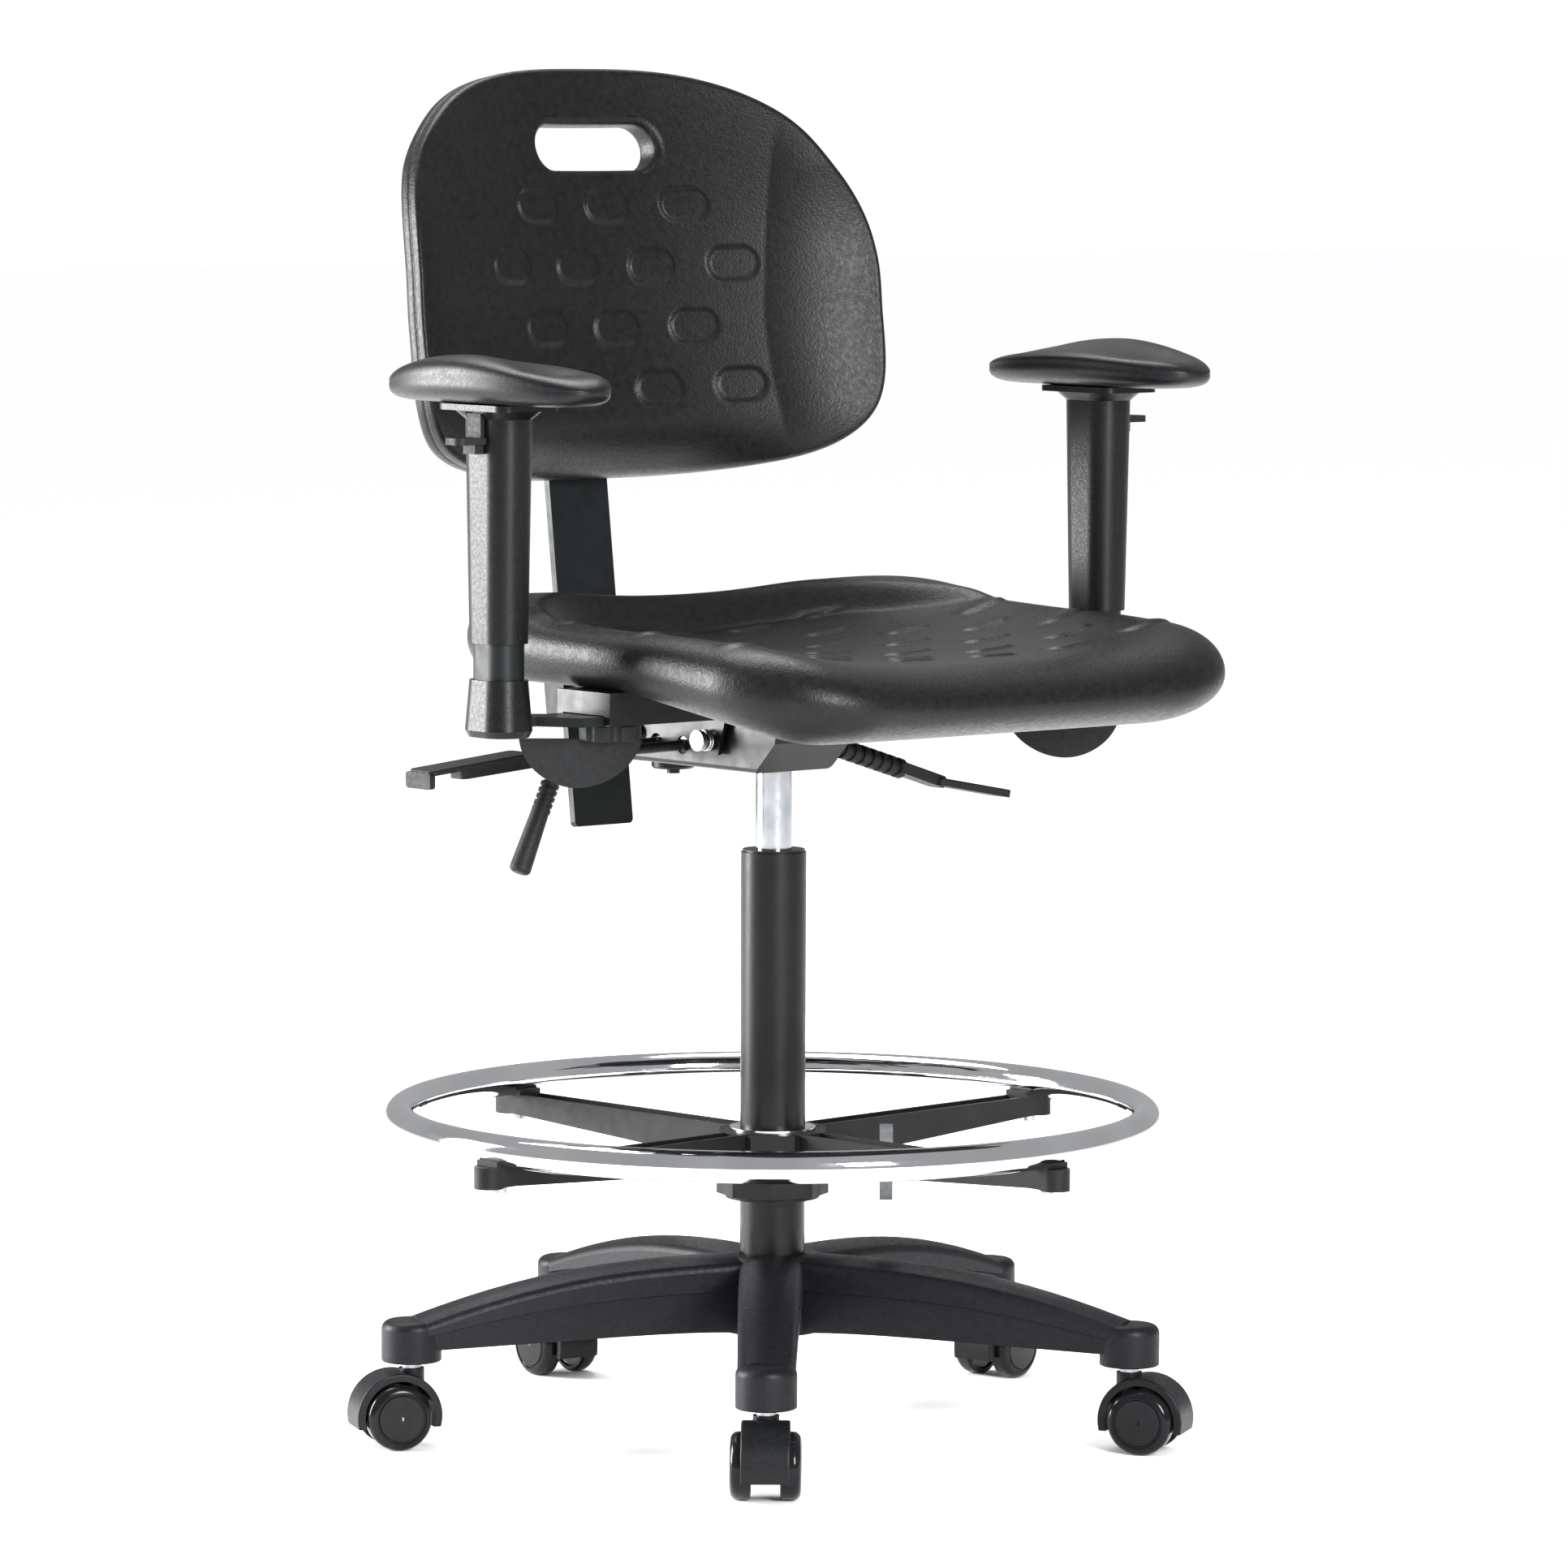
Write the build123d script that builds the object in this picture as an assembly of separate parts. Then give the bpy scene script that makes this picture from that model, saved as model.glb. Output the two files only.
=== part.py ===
"""Drafting chair: five-star base on twin-wheel casters, gas column with a sliding foot ring,
three-lever mechanism, moulded seat and back, and adjustable arms.

Millimetres. The origin is on the floor under the column's axis, +Z up. The sitter faces -Y,
so +X is the sitter's left. Each function returns one named piece.
"""
from build123d import *
import os
from math import cos, radians, sin

# ---------------------------------------------------------------- driving dimensions
GAP = 0.3                # clearance between faces that move past each other
FIT = 0.05               # radial clearance of a running fit
BASE_TURN = -130.73      # direction of the first base arm, from +X
SPIDER_TURN = -85.0      # direction of the first foot-ring spoke
KNOB_TURN = -40.0        # direction of the foot-ring clamp knob

ARM_COUNT = 5
ARM_REACH = 285.6        # radius of the caster pivots
ARM_BOSS_R = 22.8
ARM_BOSS_BOTTOM = 65.0
HUB_R = 37.0
HUB_TOP = 136.0
HUB_BOTTOM = 76.0

WHEEL_R = 25.0
WHEEL_INNER = 10.9       # inner face of a wheel, from the caster's middle plane
WHEEL_OUTER = 26.6
CASTER_TRAIL = 14.0
AXLE_R = 4.0
STEM_R = 5.5
HOOD_HALF = 18.0
HOOD_R = 33.0
HOOD_BORE_R = 27.2
HOOD_TOP = 60.0

TUBE_R = 25.0
TUBE_WALL = 1.6
TUBE_BOTTOM = 80.0
TUBE_TOP = 445.0
CYL_R = 14.0
CYL_BOTTOM = 150.0
CYL_TOP = 506.0
CONE_TOP = 552.0
CONE_TOP_R = 13.2
ROD_R = 5.0
BORE_R = 11.5
PIN_R = 4.0
PIN_TOP = 564.0

RING_R = 286.0
RING_TUBE_R = 12.0
RING_Z = 242.3
COLLAR_BOTTOM = 179.0
COLLAR_TOP = 231.0
SPOKE_TIP = 296.0
SPOKE_HALF = 11.0
SPOKE_TOP = 231.5
CLAMP_Z = 206.0

HOUSE_HALF = 38.0        # mechanism housing, half width
HOUSE_WALL = 2.5
HOUSE_BOTTOM = 508.0
HOUSE_TOP = 556.0
HOUSE_REAR = 146.0
TILT_Y = 24.0            # seat tilt axis
TILT_Z = 531.0
TILT_R = 5.0
RECLINE_Y = 118.0        # back recline axis
RECLINE_Z = 530.0
RECLINE_R = 4.0

PLATE_TOP = 583.0
PLATE_T = 3.0
CLAMP_X = 210.0          # arm width clamp axis
GUIDE_Y = -62.0          # centre line of the arm guides
BAR_HALF = 24.0          # arm bar, half width in its guide
BAR_BOTTOM = 558.5
BAR_TOP = 565.5

BACK_Y = 223.3           # back bar centre line passes this point
BACK_Z = 555.0
BACK_LEAN = 7.2
BACK_BAR_HALF = 29.0
BACK_BAR_T = 6.0

SEAT_HALF = 238.0
SEAT_FRONT = -303.0
SEAT_REAR = 135.0
SEAT_UNDER = 583.0
SEAT_SCREWS = [(-95, -10), (95, -10), (-95, 98), (95, 98)]
REST_Y = 199.0           # front face of the backrest at its middle
REST_Z = 887.0
REST_LEAN = 8.4
REST_R = 450.0           # plan radius of the backrest's front face
REST_T = 26.0
REST_HALF = 229.0
REST_LOW, REST_SHOULDER, REST_TOP = -161.0, -42.0, 157.0
BACK_SCREW_HEIGHTS = [214.0, 262.0]      # up the bar

POST_X = 296.0
POST_Y = -39.0
POST_HALF = 17.0         # half width of the bar where the upright stands
POST_TOP = 750.0         # top of the upright inside its sleeve
PAD_UNDER = 795.0
PAD_LENGTH = 228.0
PAD_WIDTH = 90.0
PAD_HEIGHT = 41.0


# ---------------------------------------------------------------- helpers
def turn(shape, angle):
    """The shape turned about the column's axis."""
    return Rot(0, 0, angle) * shape


def drum(radius, low, high, inner=0.0):
    """An upright cylinder, or a ring when inner is given."""
    body = Pos(0, 0, (low + high) / 2) * Cylinder(radius, high - low)
    if inner:
        body -= Pos(0, 0, (low + high) / 2) * Cylinder(inner, high - low + 2)
    return body


def block(x0, x1, y0, y1, z0, z1):
    """A box between two corners."""
    return Pos((x0 + x1) / 2, (y0 + y1) / 2, (z0 + z1) / 2) * Box(x1 - x0, y1 - y0, z1 - z0)


def cross_rod(radius, x0, x1, y, z):
    """A cylinder along X."""
    return Pos((x0 + x1) / 2, y, z) * Rot(0, 90, 0) * Cylinder(radius, abs(x1 - x0))


def rod(start, end, radius, end_radius=None):
    """A round bar or a taper between two points."""
    a, b = Vector(start), Vector(end)
    along = b - a
    plane = Plane(origin=(a + b) * 0.5, z_dir=along)
    if end_radius is None:
        return plane * Cylinder(radius, along.length)
    return plane * Cone(radius, end_radius, along.length)


def oval(half_x, half_y, corner, z, centre=(0, 0)):
    """A rounded rectangle lying at height z."""
    return Pos(centre[0], centre[1], z) * RectangleRounded(2 * half_x, 2 * half_y, corner)


def side_profile(points, x0, x1):
    """A (y, z) outline carried along X from x0 to x1."""
    face = Plane.YZ.offset(x0) * make_face(Polyline(*points, close=True))
    return extrude(face, amount=x1 - x0, dir=(1, 0, 0))


def save(name, shape):
    """Write one piece to its own file."""
    shape.label = name
    export_step(shape, "parts/" + name + ".step")


# ---------------------------------------------------------------- base and casters
# distance out, top, height of the side band, underside, half width
ARM_STATIONS = [
    (22.0, 137.0, 26.0, 77.0, 24.5),
    (90.0, 135.0, 25.0, 79.0, 24.0),
    (160.0, 128.5, 23.0, 77.5, 23.2),
    (230.0, 114.5, 19.0, 75.5, 22.2),
    (283.0, 99.0, 14.0, 74.0, 21.4),
]


def arm_section(reach, top, band, under, half):
    """Arm section: a crowned cap with round shoulders over a narrower web."""
    step = 3.0
    crown = 3.5
    shoulder = top - crown
    low = top - band
    with BuildSketch(Plane(origin=(reach, 0, 0), x_dir=(0, 1, 0), z_dir=(1, 0, 0))) as section:
        with BuildLine():
            Line((half, low), (half, shoulder - 7))
            ThreePointArc((half, shoulder - 7), (half - 1.9, shoulder - 2.2), (half - 6, shoulder))
            ThreePointArc((half - 6, shoulder), (0, top), (6 - half, shoulder))
            ThreePointArc((6 - half, shoulder), (1.9 - half, shoulder - 2.2), (-half, shoulder - 7))
            Line((-half, shoulder - 7), (-half, low))
            Line((-half, low), (step - half, low - 1))
            Line((step - half, low - 1), (step + 2 - half, under))
            Line((step + 2 - half, under), (half - step - 2, under))
            Line((half - step - 2, under), (half - step, low - 1))
            Line((half - step, low - 1), (half, low))
        make_face()
    return section.sketch


def arm_pocket(reach, top, band, under, half):
    """Section of the hollow under an arm."""
    width = 2 * (half - 9.0)
    high = top - band + 4.0
    plane = Plane(origin=(reach, 0, (high + under - 2) / 2), x_dir=(0, 1, 0), z_dir=(1, 0, 0))
    return plane * Rectangle(width, high - under + 2)


def base_arm():
    """One arm along +X, hollow below between cross ribs."""
    arm = loft([arm_section(*station) for station in ARM_STATIONS])
    pocket = loft([arm_pocket(*station) for station in ARM_STATIONS[1:]])
    rib = 3.0
    first = 92.0
    pitch = 42.0
    for index in range(4):
        start = first + index * pitch
        arm -= pocket & block(start, start + pitch - rib, -30, 30, 60, 140)
    boss = Pos(ARM_REACH, 0, 0) * drum(ARM_BOSS_R, ARM_BOSS_BOTTOM, 96.5)
    boss = fillet(boss.edges().sort_by(Axis.Z)[-1], 7)
    boss = fillet(boss.edges().sort_by(Axis.Z)[0], 1.5)
    return arm + boss


def base_star():
    """The moulded five-arm base with its hub and caster sockets."""
    star = drum(HUB_R, HUB_BOTTOM, HUB_TOP)
    star = fillet(star.edges().sort_by(Axis.Z)[-1], 5)
    arm = base_arm()
    for index in range(ARM_COUNT):
        star += turn(arm, BASE_TURN + 72 * index)
    star -= drum(TUBE_R + 0.02, TUBE_BOTTOM, HUB_TOP + 10)
    star -= drum(TUBE_R - 5, HUB_BOTTOM - 5, TUBE_BOTTOM + 1)
    for index in range(ARM_COUNT):
        socket = Pos(ARM_REACH, 0, 0) * drum(STEM_R, ARM_BOSS_BOTTOM - 1, 88)
        star -= turn(socket, BASE_TURN + 72 * index)
    return star


def caster_stems():
    """The five grip-ring stems, each with its collar, pressed into the base."""
    stem = drum(STEM_R, 34, 87.5) + drum(7.5, HOOD_TOP + GAP, ARM_BOSS_BOTTOM)
    stem = chamfer(stem.edges().sort_by(Axis.Z)[-1], 1.5)
    stems = [turn(Pos(ARM_REACH, 0, 0) * stem, BASE_TURN + 72 * i) for i in range(ARM_COUNT)]
    return Compound(children=stems)


def caster_hood():
    """Hood with its spine between the wheels; the swivel axis is Z, it trails along +X."""
    centre = Pos(CASTER_TRAIL - 1.0, 0, WHEEL_R) * Rot(90, 0, 0)
    shell = centre * Cylinder(HOOD_R, 2 * HOOD_HALF)
    shell = fillet(shell.edges(), 1.5)
    shell -= centre * Cylinder(HOOD_BORE_R, 2 * HOOD_HALF + 2)
    shell -= block(-40, 60, -30, 30, -20, 16.5)
    spine_half = WHEEL_INNER - 1.1
    spine = Pos(CASTER_TRAIL, 0, WHEEL_R) * Rot(90, 0, 0) * Cylinder(14.0, 2 * spine_half)
    web = block(-12, CASTER_TRAIL + 22, -4, 4, 22, 50)
    boss = drum(spine_half, 24, HOOD_TOP)
    hood = shell + spine + boss + (web & (centre * Cylinder(HOOD_R - 2, 12)))
    hood -= drum(STEM_R + FIT, 33.5, HOOD_TOP + 1)
    hood -= Pos(CASTER_TRAIL, 0, WHEEL_R) * Rot(90, 0, 0) * Cylinder(AXLE_R + 0.01, 60)
    return hood


def caster_axle():
    """Axle pin across the hood, one end in each wheel."""
    pin = Pos(CASTER_TRAIL, 0, WHEEL_R) * Rot(90, 0, 0) * Cylinder(AXLE_R, 2 * (WHEEL_OUTER - 5))
    return chamfer(pin.edges(), 0.6)


def caster_wheel(side):
    """Wheel with a domed rim round a flat hub disc; side is +1 or -1 along Y."""
    with BuildSketch(Plane.YZ) as half_section:
        with BuildLine():
            Line((WHEEL_INNER, 0), (WHEEL_INNER, 9))
            Line((WHEEL_INNER, 9), (WHEEL_INNER + 2, 10))
            Line((WHEEL_INNER + 2, 10), (WHEEL_INNER + 2, 20))
            Line((WHEEL_INNER + 2, 20), (WHEEL_INNER, 21))
            Line((WHEEL_INNER, 21), (WHEEL_INNER, WHEEL_R - 1.5))
            Line((WHEEL_INNER, WHEEL_R - 1.5), (WHEEL_INNER + 1.5, WHEEL_R))
            Line((WHEEL_INNER + 1.5, WHEEL_R), (WHEEL_OUTER - 7, WHEEL_R))
            ThreePointArc((WHEEL_OUTER - 7, WHEEL_R), (WHEEL_OUTER - 2.4, 23.3), (WHEEL_OUTER - 0.6, 19.4))
            Line((WHEEL_OUTER - 0.6, 19.4), (WHEEL_OUTER - 1.6, 18.8))
            Line((WHEEL_OUTER - 1.6, 18.8), (WHEEL_OUTER - 1.6, 18.0))
            Line((WHEEL_OUTER - 1.6, 18.0), (WHEEL_OUTER - 0.4, 17.2))
            Line((WHEEL_OUTER - 0.4, 17.2), (WHEEL_OUTER, 0))
            Line((WHEEL_OUTER, 0), (WHEEL_INNER, 0))
        make_face()
    wheel = revolve(half_section.sketch, Axis.Y)
    bore_end = WHEEL_OUTER - 4.5
    bore = Pos(0, (bore_end + 5) / 2, 0) * Rot(90, 0, 0) * Cylinder(AXLE_R + FIT, bore_end - 5)
    wheel = Pos(CASTER_TRAIL, 0, WHEEL_R) * (wheel - bore)
    if side < 0:
        wheel = mirror(wheel, about=Plane.XZ)
    return wheel


def caster_place(index):
    """Where one caster stands: its swivel axis at the arm's end, trailing outwards."""
    return Rot(0, 0, BASE_TURN + 72 * index) * Pos(ARM_REACH, 0, 0)


# ---------------------------------------------------------------- column
def column_tube():
    """Outer tube with a floor that carries the thrust bearing."""
    tube = drum(TUBE_R, TUBE_BOTTOM, TUBE_TOP, TUBE_R - TUBE_WALL)
    tube = chamfer(tube.edges().filter_by(GeomType.CIRCLE).sort_by(Axis.Z)[-1], 0.6)
    floor = drum(TUBE_R - TUBE_WALL, TUBE_BOTTOM, TUBE_BOTTOM + 4, ROD_R + 1.0)
    return tube + floor


def column_bush():
    """Plastic guide bush in the top of the tube, with a low collar on the rim."""
    bush = drum(TUBE_R - TUBE_WALL - 0.02, 255, TUBE_TOP + 0.5, CYL_R + FIT)
    lip = drum(TUBE_R - 1.2, TUBE_TOP + 0.5, TUBE_TOP + 2.0, CYL_R + FIT)
    return bush + lip


def column_bearing():
    """Thrust bearing on the tube's floor: two washers with a ring of balls between them."""
    floor = TUBE_BOTTOM + 4
    lower = drum(13, floor, floor + 2, ROD_R + 1)
    upper = drum(13, floor + 6, floor + 8, ROD_R + 1)
    balls = []
    for index in range(8):
        angle = radians(45 * index)
        balls.append(Pos(9.5 * cos(angle), 9.5 * sin(angle), floor + 4) * Sphere(1.98))
    return Compound(children=[lower, upper] + balls)


def piston_rod():
    """Rod standing on the bearing, with the piston inside the cylinder."""
    body = drum(ROD_R, HUB_BOTTOM - 0.5, 404)
    shoulder = drum(9, TUBE_BOTTOM + 12 + GAP, TUBE_BOTTOM + 20)
    piston = drum(BORE_R - FIT, 400, 415)
    return body + shoulder + piston


def gas_cylinder():
    """Pressure tube with its lower gland, tapered top and pin hole."""
    body = drum(CYL_R, CYL_BOTTOM, CYL_TOP)
    body = chamfer(body.edges().sort_by(Axis.Z)[0], 0.8)
    cone_length = CONE_TOP - CYL_TOP
    body += Pos(0, 0, (CYL_TOP + CONE_TOP) / 2) * Cone(CYL_R, CONE_TOP_R, cone_length)
    body -= drum(BORE_R, CYL_BOTTOM + 8, 500)
    body -= drum(ROD_R + FIT, CYL_BOTTOM - 1, CYL_BOTTOM + 9)
    body -= drum(PIN_R + FIT, 536, CONE_TOP + 1)
    return body


def release_pin():
    """Valve pin that the height lever presses."""
    pin = drum(PIN_R, 541, PIN_TOP)
    return chamfer(pin.edges().sort_by(Axis.Z)[-1], 0.8)


# ---------------------------------------------------------------- foot ring
def foot_ring():
    """Chromed tube ring."""
    return Pos(0, 0, RING_Z) * Torus(RING_R, RING_TUBE_R)


def spoke():
    """One spoke along +X: a channel open above, deeper towards the hub, with an end lug."""
    tip = SPOKE_TIP
    outline = [(30, SPOKE_TOP), (tip, SPOKE_TOP), (tip, 216), (tip - 18, 216), (30, 202)]
    body = extrude(Plane.XZ.offset(-SPOKE_HALF) * make_face(Polyline(*outline, close=True)),
                   amount=2 * SPOKE_HALF)
    wall = 3.2
    body -= block(44, tip - 26, wall - SPOKE_HALF, SPOKE_HALF - wall, SPOKE_TOP - 9, SPOKE_TOP + 1)
    lug = Pos(tip, 0, 0) * drum(SPOKE_HALF, 215, SPOKE_TOP)
    saddle = block(tip - 24, tip + 2, -SPOKE_HALF, SPOKE_HALF, SPOKE_TOP, SPOKE_TOP + 4)
    return body + lug + saddle


def foot_ring_spider():
    """Hub collar with four spokes that carry the ring."""
    hub = drum(36, COLLAR_BOTTOM, COLLAR_TOP)
    rim = extrude(Pos(0, 0, COLLAR_TOP - 14) * RegularPolygon(44, 8), amount=14)
    low_rim = extrude(Pos(0, 0, COLLAR_BOTTOM + 3) * RegularPolygon(43, 8), amount=14)
    spider = hub + turn(rim, SPIDER_TURN + 22.5) + turn(low_rim, SPIDER_TURN)
    for index in range(4):
        spider += turn(spoke(), SPIDER_TURN + 90 * index)
    pad = Pos(34, 0, CLAMP_Z) * Rot(0, 90, 0) * Cylinder(11, 26)
    spider += turn(pad, KNOB_TURN)
    spider -= drum(30.02, COLLAR_BOTTOM - 1, COLLAR_TOP + 5)
    spider -= drum(33.1, COLLAR_TOP, COLLAR_TOP + 5)
    spider -= Pos(0, 0, RING_Z) * Torus(RING_R, RING_TUBE_R + 0.03)
    for index in range(4):
        hole = Pos(RING_R, 0, 0) * drum(3.02, 200, RING_Z)
        spider -= turn(hole, SPIDER_TURN + 90 * index)
    stud_hole = Pos(45, 0, CLAMP_Z) * Rot(0, 90, 0) * Cylinder(4 + FIT, 40)
    return spider - turn(stud_hole, KNOB_TURN)


def spider_bush():
    """Bright split collar that slides on the column inside the spider's hub."""
    bush = drum(30, COLLAR_BOTTOM, COLLAR_TOP + 1.5, TUBE_R + FIT)
    lip = drum(33, COLLAR_TOP + 0.1, COLLAR_TOP + 2.5, TUBE_R + FIT)
    return bush + lip


def foot_ring_screws():
    """Four screws from below each spoke's end into the ring."""
    screw = drum(3, 212, 236) + drum(6, 211, 214.9)
    screws = [turn(Pos(RING_R, 0, 0) * screw, SPIDER_TURN + 90 * i) for i in range(4)]
    return Compound(children=screws)


def clamp_knob():
    """Wing knob on a stud that clamps the foot ring to the column."""
    stud = Pos(54, 0, CLAMP_Z) * Rot(0, 90, 0) * Cylinder(4, 46)
    hub = Pos(80, 0, CLAMP_Z) * Rot(0, 90, 0) * Cylinder(11, 22)
    wing = block(82, 92, -10, 10, CLAMP_Z - 28.5, CLAMP_Z + 28.5)
    wing = fillet(wing.edges().filter_by(Axis.X), 4)
    return turn(stud + hub + wing, KNOB_TURN)


# ---------------------------------------------------------------- mechanism
HOUSE_OUTLINE = [(-22, HOUSE_BOTTOM), (HOUSE_REAR, HOUSE_BOTTOM), (HOUSE_REAR, HOUSE_TOP),
                 (-50, HOUSE_TOP), (-46, 532)]
HEIGHT_LEVER_Y = -20.0
HEIGHT_PIVOT = (HOUSE_HALF - 1, 527.0)      # x, z
SEAT_LEVER_Y = 96.0
BACK_LEVER_Y = 64.0
KNOB_X = 2.0             # tension knob axis
KNOB_Y = 124.0
LEVER_PIVOT = (1 - HOUSE_HALF, 524.0)       # x, z


def mechanism_housing():
    """Pressed trough with a slanted nose, open above and behind, and the taper socket."""
    body = side_profile(HOUSE_OUTLINE, -HOUSE_HALF, HOUSE_HALF)
    body = fillet(body.edges().filter_by(Axis.Y).group_by(Axis.Z)[0], 4)
    wall = HOUSE_WALL
    hollow = [(-20, HOUSE_BOTTOM + wall), (HOUSE_REAR + 5, HOUSE_BOTTOM + wall),
              (HOUSE_REAR + 5, HOUSE_TOP + 5), (-47, HOUSE_TOP + 5), (-43.5, 533)]
    body -= side_profile(hollow, wall - HOUSE_HALF, HOUSE_HALF - wall)
    body += drum(18.5, HOUSE_BOTTOM + 1, 550)
    body += block(-36, 36, -20, 0, HOUSE_BOTTOM + 1, 514)
    taper = (CYL_R - CONE_TOP_R) / (CONE_TOP - CYL_TOP)
    low = CYL_TOP - 4
    low_r = CYL_R + 4 * taper + 0.02
    high_r = CONE_TOP_R + 0.02
    body -= Pos(0, 0, (low + CONE_TOP) / 2) * Cone(low_r, high_r, CONE_TOP - low)
    body -= cross_rod(TILT_R + 0.01, -45, 45, TILT_Y, TILT_Z)
    body -= Pos(KNOB_X, KNOB_Y, 0) * drum(5.02, 500, 515)
    body -= cross_rod(RECLINE_R + 0.01, -45, 45, RECLINE_Y, RECLINE_Z)
    body -= cross_rod(8, 30, 42, HEIGHT_LEVER_Y, HEIGHT_PIVOT[1])
    body -= cross_rod(7, -42, -30, SEAT_LEVER_Y, LEVER_PIVOT[1])
    body -= cross_rod(7, -42, -30, BACK_LEVER_Y, LEVER_PIVOT[1])
    return body


def pivot_pins():
    """The tilt axle and the recline pin, each headed at both ends."""
    tilt = cross_rod(TILT_R, -56, 56, TILT_Y, TILT_Z)
    recline = cross_rod(RECLINE_R, -41, 41, RECLINE_Y, RECLINE_Z)
    for side in (-1, 1):
        tilt += cross_rod(8, side * 53, side * 57, TILT_Y, TILT_Z)
        recline += cross_rod(7, side * HOUSE_HALF, side * 41, RECLINE_Y, RECLINE_Z)
    return Compound(children=[tilt, recline])


def tension_knob():
    """Round tension knob under the rear of the housing."""
    knob = drum(17, 500, 507.9) + drum(5, 496, HOUSE_BOTTOM + 2)
    knob = chamfer(knob.edges().filter_by(GeomType.CIRCLE).sort_by(SortBy.LENGTH)[-1], 1.5)
    return Pos(KNOB_X, KNOB_Y, 0) * knob


def tilt_springs():
    """A torsion spring round each end of the tilt axle."""
    springs = []
    for side in (-1, 1):
        path = Helix(pitch=2.3, height=4.6, radius=7.4)
        start = Plane(origin=path @ 0, z_dir=path % 0)
        coil = sweep(start * Circle(0.95), path=path, is_frenet=True)
        coil = Pos(side * 48.4 - 2.3, TILT_Y, TILT_Z) * Rot(0, 90, 0) * coil
        springs.append(coil)
    return Compound(children=springs)


def arm_guide(side):
    """Channel under the seat plate that an arm bar slides in."""
    x0, x1 = 95.0, 235.0
    y0, y1 = GUIDE_Y - 31, GUIDE_Y + 31
    body = block(x0, x1, y0, y1, BAR_BOTTOM, PLATE_TOP)
    slot_top = BAR_TOP + 0.8
    body -= block(x0 - 1, x1 + 1, GUIDE_Y - BAR_HALF - GAP, GUIDE_Y + BAR_HALF + GAP, 540, slot_top)
    body -= block(x0 + 3, x1 - 3, y0 + 3, y1 - 3, slot_top + PLATE_T, PLATE_TOP - PLATE_T)
    body -= Pos(CLAMP_X, GUIDE_Y, 0) * drum(4 + FIT, 540, 575)
    if side < 0:
        body = mirror(body, about=Plane.YZ)
    return body


def seat_plate():
    """Pressed plate under the seat: pivot cheeks and the two arm guides."""
    plate = block(-112, 112, -93, 118, PLATE_TOP - PLATE_T, PLATE_TOP)
    plate = fillet(plate.edges().filter_by(Axis.Z), 12)
    cheek = [(2, 582), (2, 560), (14, 520), (34, 520), (56, 560), (56, 582)]
    for side in (-1, 1):
        low, high = sorted((side * 41, side * 44))
        plate += side_profile(cheek, low, high)
        plate += arm_guide(side)
    plate -= cross_rod(TILT_R + FIT, -50, 50, TILT_Y, TILT_Z)
    for x, y in SEAT_SCREWS:
        plate -= Pos(x, y, 0) * drum(3.02, 570, 590)
    return plate


def seat_screws():
    """Four bolts from the seat plate up into the seat."""
    under = PLATE_TOP - PLATE_T
    screw = drum(3, under - 1, 597) + drum(6, under - 4, under)
    return Compound(children=[Pos(x, y, 0) * screw for x, y in SEAT_SCREWS])


def lean_plane():
    """Frame of the back bar: local Z runs up the bar, local Y points backwards."""
    tilt = radians(BACK_LEAN)
    return Plane(origin=(0, BACK_Y, BACK_Z), x_dir=(1, 0, 0), z_dir=(0, sin(tilt), cos(tilt)))


def back_bracket():
    """Two cheeks from the recline pin to the holder that the back bar slides through."""
    cheek = [(106, 519), (130, 519), (212, 537), (214, 570), (128, 545), (106, 541)]
    bracket = side_profile(cheek, -33, -29.5) + side_profile(cheek, 29.5, 33)
    bracket += side_profile([(176, 529.1), (212, 537), (212, 540), (176, 532.1)], -33, 33)
    holder = lean_plane().location * block(-39, 39, -14, 10, -22, 20)
    holder = fillet(holder.edges().filter_by(Axis.X), 1)
    bracket += holder
    slot = BACK_BAR_HALF + GAP, BACK_BAR_T / 2 + GAP
    bracket -= lean_plane().location * block(-slot[0], slot[0], -slot[1], slot[1], -40, 40)
    bracket -= cross_rod(RECLINE_R + FIT, -50, 50, RECLINE_Y, RECLINE_Z)
    bracket -= lean_plane().location * (Rot(90, 0, 0) * Pos(0, 0, -10) * Cylinder(5 + FIT, 20))
    return bracket


def lobed_disc(radius, height, lobes, depth):
    """A disc with scallops round its edge, standing on the XY plane."""
    disc = drum(radius, 0, height)
    disc = chamfer(disc.edges(), 1.0)
    for index in range(lobes):
        angle = radians(360 / lobes * index)
        reach = radius + depth
        disc -= Pos(reach * cos(angle), reach * sin(angle), 0) * drum(2 * depth, -1, height + 1)
    return disc


def back_height_knob():
    """Hand knob behind the bar holder, with its clamping stud."""
    knob = Pos(0, 0, 12) * lobed_disc(20, 18, 6, 3.5) + drum(5, 3.6, 16)
    return lean_plane().location * (Rot(-90, 0, 0) * knob)


def bent_rod(points, corner, radius):
    """A round rod along straight runs joined by tangent arcs."""
    path = FilletPolyline(*points, radius=corner)
    start = Plane(origin=path @ 0, z_dir=path % 0)
    return sweep(start * Circle(radius), path=path)


def boot(start, end, radius, rings):
    """A ribbed rubber boot between two points: a sleeve with raised rings."""
    a, b = Vector(start), Vector(end)
    body = rod(a, b, radius)
    along = (b - a).normalized()
    length = (b - a).length
    for index in range(rings):
        centre = a + along * (length * (index + 0.5) / rings)
        half = along * (length / rings * 0.28)
        body += rod(centre - half, centre + half, radius + 1.3)
    return body


def barrel(x, y, z, radius, length):
    """A lever's round pivot along Y."""
    return Pos(x, y, z) * Rot(90, 0, 0) * Cylinder(radius, length)


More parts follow.
